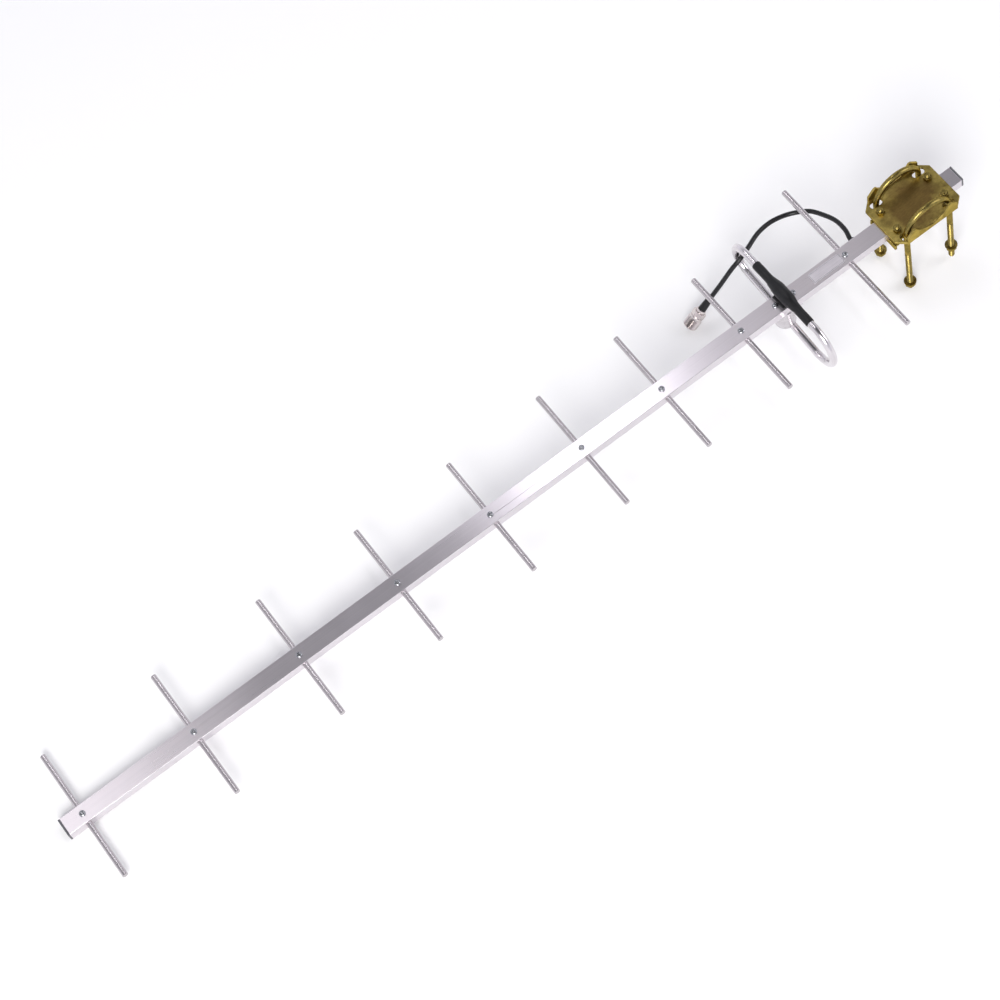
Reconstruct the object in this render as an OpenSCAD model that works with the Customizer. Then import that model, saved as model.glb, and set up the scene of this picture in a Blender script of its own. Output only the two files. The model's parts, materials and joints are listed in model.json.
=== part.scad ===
// Yagi antenna: a flat box boom with eight directors, a reflector and a folded
// dipole, a short coax lead with a threaded jack, and a saddle clamp whose two
// U-bolts take a mast.
//
// Each piece is drawn along the boom in boom coordinates: X runs forward from
// the reflector, Y runs along the elements, and Z runs up from the boom's top
// face. "at_rest" then lays the whole antenna down as it rests on a table, on
// the front tips of its U-bolts and on the front end of its boom. Only the
// coax lead and its jack are drawn straight in table coordinates.

/* [Boom] */
// Width of the box tube, along the elements
boom_w = 20; // [18:0.5:26]
// Height of the box tube
boom_h = 12; // [12:0.5:16]
// Wall thickness of the box tube
boom_wall = 1.2; // [1:0.1:1.4]
// Length of the tube ahead of the reflector
boom_front = 949; // [945:1:1000]
// Length of the tube behind the reflector
boom_rear = 141; // [138:1:170]

/* [Elements] */
// Diameter of the solid element rods
rod_d = 6; // [4:0.5:6]
// Depth of the rods' axes below the boom's top face
rod_drop = 4.4; // [4.4:0.1:5]
// Length of the reflector
reflector_l = 198; // [190:1:220]
// Distances of the directors ahead of the reflector
director_x = [131, 230, 329, 441, 554, 672, 797, 928]; // [120:1:940]
// Lengths of the directors, first to last
director_l = [158, 155, 150, 147, 148, 151, 153, 154]; // [140:1:180]

/* [Folded dipole] */
// Distance of the dipole ahead of the reflector
dipole_x = 77; // [75:1:85]
// Diameter of the bent dipole tube
dipole_d = 8; // [7:0.5:8]
// Height of the upper bar's axis above the boom's top face
dipole_up = 11.5; // [11.5:0.5:14]
// Bend radius of the tighter end
dipole_bend_a = 21; // [20:0.5:23]
// Bend radius of the wider end
dipole_bend_b = 28; // [24:0.5:29]
// Distance between the centres of the two bends
dipole_span = 108; // [100:1:115]
// Sideways shift of the loop towards its tighter end
dipole_shift = 5; // [0:0.5:6]
// Length of the shrunk sleeve over the feed point
sleeve_l = 88; // [80:1:94]

/* [Mast clamp] */
// Distance of the clamp's middle behind the reflector
clamp_x = 86; // [84:1:92]
// Length of the clamp plate, along the boom
plate_l = 82; // [80:1:90]
// Width of the clamp plate, along the elements
plate_w = 65; // [62:1:70]
// Thickness of the plate
plate_t = 3; // [2.5:0.1:3]
// Height of the toothed flanges above the boom's top face
flange_h = 18; // [16:0.5:20]
// Diameter of the mast that the saddle is cut for
mast_d = 45; // [40:0.5:45]
// Diameter of the U-bolt rod
ubolt_d = 6.4; // [6:0.1:6.4]
// Distance between the two legs of a U-bolt
ubolt_pitch = 54; // [54:0.5:56]
// Distance of each U-bolt from the middle of the boom
ubolt_y = 24; // [23:0.5:25]
// Length of a U-bolt's straight legs
ubolt_leg = 101; // [95:1:110]

/* [Lead] */
// Diameter of the coax lead
lead_d = 5; // [4.5:0.1:5]
// Diameter over the jack's thread
jack_d = 15.8; // [15:0.1:16]

/* [Hidden] */
$fn = 48;

snug = 0.05;                    // radial gap of a part that is pressed or screwed home
running = 0.08;                 // radial gap of a nut or washer on its leg
through = 0.1;                  // how far a cutting shape runs past a face

// Boom and its plugs
cap_lip = 2;
cap_plug = 9;
cap_fit = 0.15;
inner_w = boom_w - 2 * boom_wall;
inner_h = boom_h - 2 * boom_wall;

// Screws
screw_head_d = 6.6;
screw_head_h = 2;
screw_shank_d = 3;
recess_w = 0.9;
recess_l = 3.6;
recess_deep = 1.1;
rod_screw_end = rod_drop + 2;   // depth of a rod screw's point

// Dipole: the loop is a belt round two circles, turned so that its upper bar is level
dipole_screw_pitch = 22;
dipole_slope = asin((dipole_bend_b - dipole_bend_a) / dipole_span);
bar_l = sqrt(pow(dipole_span, 2) - pow(dipole_bend_b - dipole_bend_a, 2));
bar_lap = 1.5;                  // how far a bar reaches into a bend
bar_ease = 0.2;                 // how much thinner a bar is than the bends
feed_gap = 10;
block_d = 13.2;
block_l = 30;
block_grip = 10;
sleeve_t = 0.8;
sleeve_r_fat = block_d / 2 + snug;
sleeve_r_thin = dipole_d / 2 + snug;
sleeve_taper = 5;
pad_l = 15;
pad_w = 18;
pad_h = dipole_up - sleeve_r_fat - sleeve_t;
pad_base = 2.5;
pad_rib = 8;
post_d = 22;
post_low = 40;                  // the post's lower face, below the boom's top face
post_shift = 2;                 // how far the post stands ahead of the dipole
post_base = [32, 18, 4];
loop_mid_y = -dipole_shift;

// Clamp
chamfer_x = 10;
chamfer_y = 9;
flange_t = 2.5;
flange_l = 65;
mast_rise = 27.5;               // mast axis above the boom's top face
slot_l = 14;
slot_w = 7.4;
bolt_x = 30;
bolt_y = 13.2;
bolt_d = 5;
bolt_nut_af = 8;
bolt_nut_h = 4;
bolt_head_d = 9;
bolt_head_h = 3;
bolt_stub = 4;
strap_l = 78;
strap_w = 40;
strap_t = 2.5;
strap_lip = 5;
strap_notch_d = 14.6;            // round notches that let the washers pass
spring_z = 1;                   // height at which a U-bolt's bow begins
leg_end = ubolt_leg - spring_z; // the leg tips, below the boom's top face
washer_d = 13;
washer_t = 1.6;
nut_af = 10;
nut_h = 5;
nut_top = [92, 80];             // upper faces of the front and rear nuts, below the boom's top face

// How it lies: the boom's front end and the two front U-bolt tips touch the table
nose_x = boom_front + cap_lip;
tail_x = -boom_rear - cap_lip;
tip_x = -clamp_x + ubolt_pitch / 2 + ubolt_d / 2;
lean = atan((leg_end - boom_h) / (nose_x - tip_x));
middle_x = (nose_x + tail_x) / 2 * cos(lean) - boom_h / 2 * sin(lean);
lift = nose_x * sin(lean) + boom_h * cos(lean);

// Lead and jack, in table coordinates
exit_x = -17;
exit_drop = 6;
coax_thin_d = 2.6;
coax_thin_y = -4;
coax_thin_drop = 9.2;
jack_tip = [-260.5, -75, 6.2];
jack_fall = 46;
jack_turn = -2.5;
jack_l = 24;
boot_l = 13;
lead_sides = 10;
lead_step = 10;
lead_route = [
    [-419.4, -9, 90.3],
    [-419.5, -14, 90.3],
    [-423.2, -26.5, 88.3],
    [-424.5, -43, 83.7],
    [-421.7, -59.9, 77],
    [-416.5, -74.9, 70.6],
    [-406.8, -85, 65.4],
    [-393.4, -90.8, 64.2],
    [-376.7, -91.4, 66.6],
    [-358.3, -86.5, 70.7],
    [-341, -78, 74],
    [-327, -72, 75],
    [-314, -72, 65],
    [-300, -73, 48],
    [-286.2, -73.9, 32.8]
];

// ---- placing ----------------------------------------------------------------

// Lays a piece that is drawn in boom coordinates down on the table.
module at_rest()
    translate([-middle_x, 0, lift]) rotate([0, lean, 0]) children();

// Puts children, drawn along +Z from the lead's end to the jack's mouth, in place.
module at_jack()
    translate(jack_tip) rotate([0, 90 + jack_fall, jack_turn]) translate([0, 0, -jack_l]) children();

// ---- shapes used by several parts -----------------------------------------------

// A cross recess, cut down from height z.
module cross_recess(z)
    translate([0, 0, z - recess_deep / 2 + through / 2]) {
        cube([recess_l, recess_w, recess_deep + through], center = true);
        cube([recess_w, recess_l, recess_deep + through], center = true);
    }

// A pan-head screw whose head sits on z = 0 and whose point is at z = -depth.
module pan_screw(depth) {
    difference() {
        rotate_extrude() polygon([[0, 0], [screw_head_d / 2, 0], [screw_head_d / 2, 0.8],
            [screw_head_d / 2 - 0.5, 1.5], [screw_head_d / 2 - 1.4, screw_head_h], [0, screw_head_h]]);
        cross_recess(screw_head_h);
    }
    translate([0, 0, -depth]) cylinder(d = screw_shank_d, h = depth);
}

// A rod across the boom, drilled for its screw.
module element_rod(x, length)
    difference() {
        translate([x, length / 2, -rod_drop]) rotate([90, 0, 0]) cylinder(d = rod_d, h = length);
        translate([x, 0, -rod_screw_end - snug]) cylinder(d = screw_shank_d + 2 * snug, h = boom_h);
    }

// Every place where a rod crosses the boom.
rod_places = concat([0], director_x);

// ---- boom --------------------------------------------------------------------------

module boom_tube() color("silver") at_rest() difference() {
    translate([-boom_rear, -boom_w / 2, -boom_h]) cube([boom_front + boom_rear, boom_w, boom_h]);
    translate([tail_x, -inner_w / 2, -boom_h + boom_wall]) cube([nose_x - tail_x, inner_w, inner_h]);
    for (x = rod_places) {
        translate([x, boom_w, -rod_drop]) rotate([90, 0, 0]) cylinder(d = rod_d + 2 * snug, h = 2 * boom_w);
        translate([x, 0, -boom_wall - through])
            cylinder(d = screw_shank_d + 2 * snug, h = boom_wall + 2 * through);
    }
    for (s = [-1, 1]) translate([dipole_x + s * dipole_screw_pitch / 2, 0, -boom_h - through])
        cylinder(d = screw_shank_d + 2 * snug, h = boom_h + 2 * through);
    translate([dipole_x, coax_thin_y, -boom_wall - through])
        cylinder(d = coax_thin_d + 2 * snug, h = boom_wall + 2 * through);
    translate([exit_x, -boom_w / 2 + boom_wall + through, -exit_drop]) rotate([90, 0, 0])
        cylinder(d = 7, h = boom_wall + 2 * through);
}

// A plastic end plug; side is 1 at the front and -1 at the rear.
module end_cap(x, side) color("dimgray") at_rest() {
    translate([side > 0 ? x : x - cap_lip, -boom_w / 2, -boom_h]) cube([cap_lip, boom_w, boom_h]);
    translate([side > 0 ? x - cap_plug : x, -inner_w / 2 + cap_fit, -boom_h + boom_wall + cap_fit])
        cube([cap_plug, inner_w - 2 * cap_fit, inner_h - 2 * cap_fit]);
}

module element_screws() color("gainsboro") at_rest()
    for (x = rod_places) translate([x, 0, 0]) pan_screw(rod_screw_end);

module label_plate() color("lightgray") at_rest()
    translate([4, -6, 0]) cube([39, 12.5, 0.4]);

// ---- folded dipole -------------------------------------------------------------------

// Turns and places the belt so that its upper bar is level at the right height.
module at_loop()
    translate([dipole_x, loop_mid_y, dipole_up - dipole_bend_a])
        translate([0, -dipole_span / 2 * cos(dipole_slope), 0]) rotate([-dipole_slope, 0, 0])
            translate([0, dipole_span / 2, 0]) children();

// The round end of the belt with bend radius r: side 1 is +Y, side -1 is -Y.
module loop_bend(r, side, sweep)
    translate([0, side * dipole_span / 2, 0])
        rotate([90, 0, 90]) rotate([0, 0, side > 0 ? -sweep / 2 : 180 - sweep / 2])
            rotate_extrude(angle = sweep) translate([r, 0]) circle(d = dipole_d);

// A straight bar of the belt; side 1 is the upper one. Its ends reach just inside the bends.
module loop_bar(side)
    rotate([side * dipole_slope, 0, 0])
        translate([0, bar_l / 2 + bar_lap, side * (dipole_bend_a + dipole_bend_b) / 2])
            rotate([90, 0, 0]) cylinder(d = dipole_d - bar_ease, h = bar_l + 2 * bar_lap);

module dipole_loop() color("silver") at_rest() difference() {
    at_loop() {
        loop_bend(dipole_bend_a, -1, 180 - 2 * dipole_slope);
        loop_bend(dipole_bend_b, 1, 180 + 2 * dipole_slope);
        loop_bar(1);
        loop_bar(-1);
    }
    translate([dipole_x - dipole_d, -feed_gap / 2, dipole_up - dipole_d])
        cube([2 * dipole_d, feed_gap, 2 * dipole_d]);
}

module along_y(y, z) translate([dipole_x, y, z]) rotate([-90, 0, 0]) children();

module feed_block() color("darkslategray") at_rest() difference() {
    along_y(-block_l / 2, dipole_up) cylinder(d = block_d, h = block_l);
    for (y = [-block_l / 2 - through, feed_gap / 2]) along_y(y, dipole_up)
        cylinder(d = dipole_d + 2 * snug, h = block_grip + through);
    translate([dipole_x, coax_thin_y, 0]) cylinder(d = coax_thin_d + 2 * snug, h = dipole_up);
}

// The sleeve's outer and inner outlines, for the half ahead of its middle.
sleeve_outside = [[sleeve_r_fat + sleeve_t, block_l / 2],
    [sleeve_r_thin + sleeve_t, block_l / 2 + sleeve_taper],
    [sleeve_r_thin + sleeve_t, sleeve_l / 2]];
sleeve_inside = [[sleeve_r_thin, sleeve_l / 2], [sleeve_r_thin, block_l / 2 + snug],
    [sleeve_r_fat, block_l / 2 + snug]];
function turned_over(points) = [for (i = [len(points) - 1 : -1 : 0]) [points[i][0], -points[i][1]]];

// Heat-shrink over the feed point: fat over the feed block, thin over the bar.
module feed_sleeve() color("black") at_rest() difference() {
    along_y(0, dipole_up) rotate_extrude()
        polygon(concat(sleeve_outside, sleeve_inside,
            turned_over(sleeve_inside), turned_over(sleeve_outside)));
    translate([dipole_x, coax_thin_y, 0]) cylinder(d = coax_thin_d + 2 * snug, h = dipole_up);
}

module dipole_pad() color("black") at_rest() difference() {
    union() {
        translate([dipole_x - pad_l / 2, -pad_w / 2, 0]) cube([pad_l, pad_w, pad_base]);
        translate([dipole_x - pad_rib / 2, -pad_w / 2, 0]) cube([pad_rib, pad_w, pad_h]);
    }
    translate([dipole_x, coax_thin_y, -through])
        cylinder(d = coax_thin_d + 2 * snug, h = pad_h + 2 * through);
}

// The post under the boom that holds the lower bar, with the foot that its screws enter.
module dipole_post() color("silver") at_rest() difference() {
    union() {
        translate([dipole_x + post_shift, 0, -post_low]) cylinder(d = post_d, h = post_low - boom_h);
        translate([dipole_x - post_base[0] / 2, -post_base[1] / 2, -boom_h - post_base[2]]) cube(post_base);
    }
    at_loop() rotate([-dipole_slope, 0, 0])
        translate([0, dipole_span / 2, -(dipole_bend_a + dipole_bend_b) / 2])
            rotate([90, 0, 0]) cylinder(d = dipole_d + 2 * snug, h = dipole_span);
    for (s = [-1, 1]) translate([dipole_x + s * dipole_screw_pitch / 2, 0, -boom_h - 5])
        cylinder(d = screw_shank_d + 2 * snug, h = 6);
}

module dipole_screws() color("gainsboro") at_rest()
    for (s = [-1, 1]) translate([dipole_x + s * dipole_screw_pitch / 2, 0, 0]) pan_screw(boom_h + 4);

// ---- mast clamp ------------------------------------------------------------------------

module clamp_slots(height)
    for (sx = [-1, 1], sy = [-1, 1]) translate([sx * ubolt_pitch / 2, sy * ubolt_y, 0]) {
        translate([-(slot_l - slot_w) / 2, -slot_w / 2, -through])
            cube([slot_l - slot_w, slot_w, height + 2 * through]);
        for (e = [-1, 1]) translate([e * (slot_l - slot_w) / 2, 0, -through])
            cylinder(d = slot_w, h = height + 2 * through);
    }

module bolt_holes(low, height)
    for (sx = [-1, 1], sy = [-1, 1]) translate([sx * bolt_x, sy * bolt_y, low])
        cylinder(d = bolt_d + 2 * snug, h = height);

module mast_plate() color("darkgoldenrod") at_rest() translate([-clamp_x, 0, 0]) difference() {
    union() {
        linear_extrude(plate_t) polygon([
            [plate_l / 2, -plate_w / 2 + chamfer_y], [plate_l / 2, plate_w / 2 - chamfer_y],
            [plate_l / 2 - chamfer_x, plate_w / 2], [-plate_l / 2 + chamfer_x, plate_w / 2],
            [-plate_l / 2, plate_w / 2 - chamfer_y], [-plate_l / 2, -plate_w / 2 + chamfer_y],
            [-plate_l / 2 + chamfer_x, -plate_w / 2], [plate_l / 2 - chamfer_x, -plate_w / 2]]);
        for (s = [-1, 1]) translate([0, s > 0 ? plate_w / 2 : -plate_w / 2 + flange_t, 0]) rotate([90, 0, 0])
            linear_extrude(flange_t) polygon([[-flange_l / 2 + 1, 0], [flange_l / 2 - 1, 0],
                [flange_l / 2 - 1, 10], [flange_l / 2 - 9, flange_h], [-flange_l / 2 + 9, flange_h],
                [-flange_l / 2 + 1, 10]]);
    }
    translate([0, plate_w, mast_rise]) rotate([90, 0, 0]) cylinder(d = mast_d, h = 2 * plate_w, $fn = 96);
    clamp_slots(plate_t);
    bolt_holes(-through, plate_t + 2 * through);
}

// The channel under the boom that the four bolts pull against it.
module boom_strap() color("goldenrod") at_rest() translate([-clamp_x, 0, -boom_h]) difference() {
    union() {
        translate([-strap_l / 2, -strap_w / 2, -strap_t]) cube([strap_l, strap_w, strap_t]);
        for (x = [-strap_l / 2, strap_l / 2 - strap_t]) translate([x, -strap_w / 2, -strap_t - strap_lip])
            cube([strap_t, strap_w, strap_lip + strap_t]);
    }
    bolt_holes(-strap_t - through, strap_t + 2 * through);
    for (sx = [-1, 1], sy = [-1, 1]) translate([sx * ubolt_pitch / 2, sy * ubolt_y, -strap_t - through])
        cylinder(d = strap_notch_d, h = strap_t + 2 * through);
}

module clamp_bolts() color("gold") at_rest() translate([-clamp_x, 0, 0])
    for (sx = [-1, 1], sy = [-1, 1]) translate([sx * bolt_x, sy * bolt_y, -boom_h - strap_t]) {
        translate([0, 0, -bolt_head_h]) cylinder(d = bolt_head_d, h = bolt_head_h, $fn = 6);
        cylinder(d = bolt_d, h = boom_h + strap_t + plate_t + bolt_nut_h + bolt_stub);
    }

module clamp_nuts() color("gold") at_rest() translate([-clamp_x, 0, plate_t])
    for (sx = [-1, 1], sy = [-1, 1]) translate([sx * bolt_x, sy * bolt_y, 0])
        hex_nut(bolt_nut_af, bolt_nut_h, bolt_d + 2 * snug);

module hex_nut(across_flats, height, bore) difference() {
    cylinder(d = across_flats / cos(30), h = height, $fn = 6);
    translate([0, 0, -through]) cylinder(d = bore, h = height + 2 * through);
}

// A U-bolt; side 1 is the near one, at +Y.
module ubolt(side) color("gold") at_rest() translate([-clamp_x, side * ubolt_y, spring_z]) {
    rotate([90, 0, 0]) rotate_extrude(angle = 180) translate([ubolt_pitch / 2, 0]) circle(d = ubolt_d);
    for (s = [-1, 1]) translate([s * ubolt_pitch / 2, 0, -ubolt_leg]) cylinder(d = ubolt_d, h = ubolt_leg);
}

// Legs 1 and 2 are the near U-bolt's front and rear ones, 3 and 4 the far one's.
module at_leg(leg) at_rest()
    translate([-clamp_x + (leg % 2 == 1 ? 1 : -1) * ubolt_pitch / 2, (leg < 3 ? 1 : -1) * ubolt_y,
        -nut_top[(leg + 1) % 2]]) children();

module leg_washer(leg) color("khaki") at_leg(leg) difference() {
    cylinder(d = washer_d, h = washer_t);
    translate([0, 0, -through]) cylinder(d = ubolt_d + 2 * running, h = washer_t + 2 * through);
}

module leg_nut(leg) color("gold") at_leg(leg)
    translate([0, 0, -nut_h]) hex_nut(nut_af, nut_h, ubolt_d + 2 * running);

// ---- coax lead and its jack ----------------------------------------------------------------

// The rubber ring in the boom's side wall.
module cable_grommet() color("black") at_rest()
    translate([exit_x, -boom_w / 2, -exit_drop]) rotate([90, 0, 0]) rotate_extrude()
        polygon([[lead_d / 2 + snug, -boom_wall - 1], [4, -boom_wall - 1], [4, -boom_wall],
            [3.45, -boom_wall], [3.45, 0], [4.6, 0], [4.6, 1], [3.8, 2.2], [lead_d / 2 + snug, 2.2]]);

// The thin feed line that runs inside the boom under the reflector.
module inner_coax() color("sienna") at_rest() {
    inner_points = [[exit_x, -6.8, -exit_drop], [exit_x, coax_thin_y, -coax_thin_drop],
        [dipole_x, coax_thin_y, -coax_thin_drop], [dipole_x, coax_thin_y, dipole_up - 4.6]];
    for (i = [0 : len(inner_points) - 2]) rod_between(inner_points[i], inner_points[i + 1], coax_thin_d);
    for (i = [1 : len(inner_points) - 2]) translate(inner_points[i]) sphere(d = coax_thin_d + 0.2);
}

module rod_between(a, b, d) {
    v = b - a;
    length = norm(v);
    translate(a) rotate([0, acos(v[2] / length), atan2(v[1], v[0])]) cylinder(d = d, h = length);
}

// A smooth curve through the route: place t (0 to 1) of the stretch from point i.
function route_at(p, i, t) =
    let (n = len(p), a = p[max(i - 1, 0)], b = p[i], c = p[i + 1], d = p[min(i + 2, n - 1)])
    0.5 * (2 * b + (c - a) * t + (2 * a - 5 * b + 4 * c - d) * t * t + (3 * b - a - 3 * c + d) * t * t * t);

function route_rings(p) = concat(
    [for (i = [0 : len(p) - 2]) let (n = max(1, round(norm(p[i + 1] - p[i]) / lead_step)))
        for (k = [0 : n - 1]) route_at(p, i, k / n)],
    [p[len(p) - 1]]);

function unit(v) = v / norm(v);
function along(q, i) = unit(q[min(i + 1, len(q) - 1)] - q[max(i - 1, 0)]);

// Sideways directions carried along the curve so that the tube doesn't twist.
function carried(q, i = 0, side = undef) =
    let (t = along(q, i), s0 = is_undef(side) ? cross(t, [0, 0, 1]) : side, s = unit(s0 - (s0 * t) * t))
    i == len(q) - 1 ? [s] : concat([s], carried(q, i + 1, s));

module tube_along(p, d, sides) {
    q = route_rings(p);
    s = carried(q);
    rings = [for (i = [0 : len(q) - 1]) let (u = s[i], v = cross(along(q, i), u))
        for (k = [0 : sides - 1]) q[i] + d / 2 * (cos(360 * k / sides) * u + sin(360 * k / sides) * v)];
    skin = [for (i = [0 : len(q) - 2], k = [0 : sides - 1])
        let (a = i * sides, b = a + sides, j = (k + 1) % sides) [a + k, b + k, b + j, a + j]];
    start = [for (k = [0 : sides - 1]) k];
    end = [for (k = [sides - 1 : -1 : 0]) (len(q) - 1) * sides + k];
    polyhedron(rings, concat(skin, [start, end]), convexity = 6);
}

module coax_lead() color("black") tube_along(lead_route, lead_d, lead_sides);

module lead_boot() color("black") at_jack() translate([0, 0, -boot_l])
    cylinder(d1 = 7.4, d2 = 8.6, h = boot_l);

module jack_body() color("whitesmoke") at_jack() difference() {
    union() {
        cylinder(d = 10.5, h = 3);
        translate([0, 0, 3]) cylinder(d = 14.8, h = 6, $fn = 6);
        translate([0, 0, 9]) cylinder(d = 14.2, h = 2);
        translate([0, 0, 11]) cylinder(d = jack_d, h = jack_l - 11);
    }
    translate([0, 0, 14]) cylinder(d = 11.4, h = jack_l - 14 + through);
}

module jack_insulator() color("white") at_jack() translate([0, 0, 14]) difference() {
    cylinder(d = 8.2, h = 6.5);
    translate([0, 0, -through]) cylinder(d = 3.1, h = 6.5 + 2 * through);
}

module jack_contact() color("gold") at_jack() translate([0, 0, 14]) difference() {
    cylinder(d = 3, h = 7);
    translate([0, 0, 3]) cylinder(d = 1.6, h = 4 + through);
}

// ---- the pieces ---------------------------------------------------------------------------------

boom_tube();
end_cap(boom_front, 1);  // front_cap
end_cap(-boom_rear, -1);  // rear_cap
color("silver") at_rest() element_rod(0, reflector_l);  // reflector_rod
for (i = [1 : 8]) color("silver") at_rest() element_rod(director_x[i - 1], director_l[i - 1]);
element_screws();
label_plate();
dipole_loop();
feed_block();
feed_sleeve();
dipole_pad();
dipole_post();
dipole_screws();
mast_plate();
boom_strap();
clamp_bolts();
clamp_nuts();
ubolt(1);  // ubolt_near
ubolt(-1);  // ubolt_far
for (leg = [1 : 4]) {
    leg_washer(leg);
    leg_nut(leg);
}
cable_grommet();
inner_coax();
coax_lead();
lead_boot();
jack_body();
jack_insulator();
jack_contact();
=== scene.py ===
"""Yagi antenna: a box boom with rod elements, a folded dipole, a coax lead and a mast clamp."""
import json
import math

import bmesh
import bpy
from bpy.props import FloatProperty, FloatVectorProperty, IntProperty, PointerProperty
from mathutils import Matrix, Vector, noise


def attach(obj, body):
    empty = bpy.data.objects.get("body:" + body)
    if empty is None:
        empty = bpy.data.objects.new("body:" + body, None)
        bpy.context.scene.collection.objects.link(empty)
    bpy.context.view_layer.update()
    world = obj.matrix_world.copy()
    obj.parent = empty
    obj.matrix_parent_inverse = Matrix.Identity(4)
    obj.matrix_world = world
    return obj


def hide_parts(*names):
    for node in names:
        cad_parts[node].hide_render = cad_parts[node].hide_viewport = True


bl_info = {
    "name": "Yagi antenna",
    "version": (1, 0, 0),
    "blender": (4, 5, 0),
    "location": "View3D > Sidebar > Yagi",
    "description": "Builds a yagi antenna round its packed frame, piece by piece",
    "category": "Object",
}

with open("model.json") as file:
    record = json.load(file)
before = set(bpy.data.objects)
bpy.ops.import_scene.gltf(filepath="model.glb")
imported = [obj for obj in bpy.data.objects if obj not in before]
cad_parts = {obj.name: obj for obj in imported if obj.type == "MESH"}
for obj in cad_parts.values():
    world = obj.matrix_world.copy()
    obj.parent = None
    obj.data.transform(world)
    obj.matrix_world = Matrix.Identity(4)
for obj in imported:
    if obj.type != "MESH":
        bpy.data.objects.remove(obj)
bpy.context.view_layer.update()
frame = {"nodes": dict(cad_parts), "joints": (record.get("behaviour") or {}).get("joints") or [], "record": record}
RECORD = frame["record"]

MM = 0.001

# ---- where the boom lies ------------------------------------------------------------

CLAMP_X = -86.0          # the clamp's middle along the boom, mm from the reflector
MAST_RISE = 27.5         # the mast's axis above the boom's top face, mm
MAST = next(m for m in RECORD["mounts"] if m["name"] == "mast_clamp")
UP = Vector(next(j for j in frame["joints"] if j["name"] == "near_ubolt_slide")["axis"]).normalized()
FORWARD = Vector((UP.z, 0.0, -UP.x))
ORIGIN = Vector(MAST["pos_m"]) - FORWARD * CLAMP_X * MM - UP * MAST_RISE * MM
LEAN = math.atan2(UP.x, UP.z)
# Boom coordinates in millimetres, to the row frame in metres
BOOM = Matrix.Translation(ORIGIN) @ Matrix.Rotation(LEAN, 4, "Y") @ Matrix.Scale(MM, 4)
BOOM_INVERSE = BOOM.inverted()

BOOM_W, BOOM_H = 20.0, 12.0
ROD_PLACES = [0.0, 131.0, 230.0, 329.0, 441.0, 554.0, 672.0, 797.0, 928.0]
ROD_LENGTHS = [198.0, 158.0, 155.0, 150.0, 147.0, 148.0, 151.0, 153.0, 154.0]
ROD_R, ROD_DROP = 3.0, 4.4
DIPOLE_X, DIPOLE_R, DIPOLE_UP = 77.0, 4.0, 11.5
BEND_A, BEND_B, BEND_SPAN, BEND_SHIFT = 21.0, 28.0, 108.0, 5.0
FEED_GAP = 10.0
SCREW_SPREAD = 11.0
LABEL_LOW, LABEL_HIGH = (4.0, -6.0), (43.0, 6.5)
EXIT_X, EXIT_DROP = -17.0, 6.0
LEG_X, LEG_Y, LEG_TIP, SPRING_Z, LEG_R = 27.0, 24.0, -100.0, 1.0, 3.2
BOLT_X, BOLT_Y, BOLT_R = 30.0, 13.2, 2.5
PLATE_T, STRAP_T = 3.0, 2.5
NUT_TOP = (92.0, 80.0)
WASHER_T, NUT_H = 1.6, 5.0

# The lead's route and its jack, table coordinates, mm
LEAD_ROUTE = [
    (-419.4, -9, 90.3), (-419.5, -14, 90.3), (-423.2, -26.5, 88.3), (-424.5, -43, 83.7), (-421.7, -59.9, 77),
    (-416.5, -74.9, 70.6), (-406.8, -85, 65.4), (-393.4, -90.8, 64.2), (-376.7, -91.4, 66.6), (-358.3, -86.5, 70.7),
    (-341, -78, 74), (-327, -72, 75), (-314, -72, 65), (-300, -73, 48), (-286.2, -73.9, 32.8),
]
LEAD_R = 2.5
JACK_TIP = Vector((-260.5, -75.0, 6.2))
JACK_FALL, JACK_TURN, JACK_L = 46.0, -2.5, 24.0
JACK = (
    Matrix.Scale(MM, 4)
    @ Matrix.Translation(JACK_TIP)
    @ Matrix.Rotation(math.radians(JACK_TURN), 4, "Z")
    @ Matrix.Rotation(math.radians(90 + JACK_FALL), 4, "Y")
    @ Matrix.Translation((0, 0, -JACK_L))
)
TABLE = Matrix.Scale(MM, 4)


# The camera, in the row frame
CAMERA_PLACE = (0.6040, 1.2247, 2.5913)
CAMERA_FORWARD = (-0.20276, -0.42802, -0.88073)
CAMERA_UP = (-0.54796, -0.69582, 0.4643)
CAMERA_LENS = 105.83


# ---- sizes and colours a user may change ------------------------------------------------


def length(label, text, default):
    return FloatProperty(name=label, description=text, default=default, unit="LENGTH", subtype="DISTANCE")


def factor(label, text, default):
    return FloatProperty(name=label, description=text, default=default, min=0.0, max=1.0, subtype="FACTOR")


def colour(label, text, default):
    return FloatVectorProperty(name=label, description=text, default=default, size=3, min=0.0, max=1.0,
                               subtype="COLOR")


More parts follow.
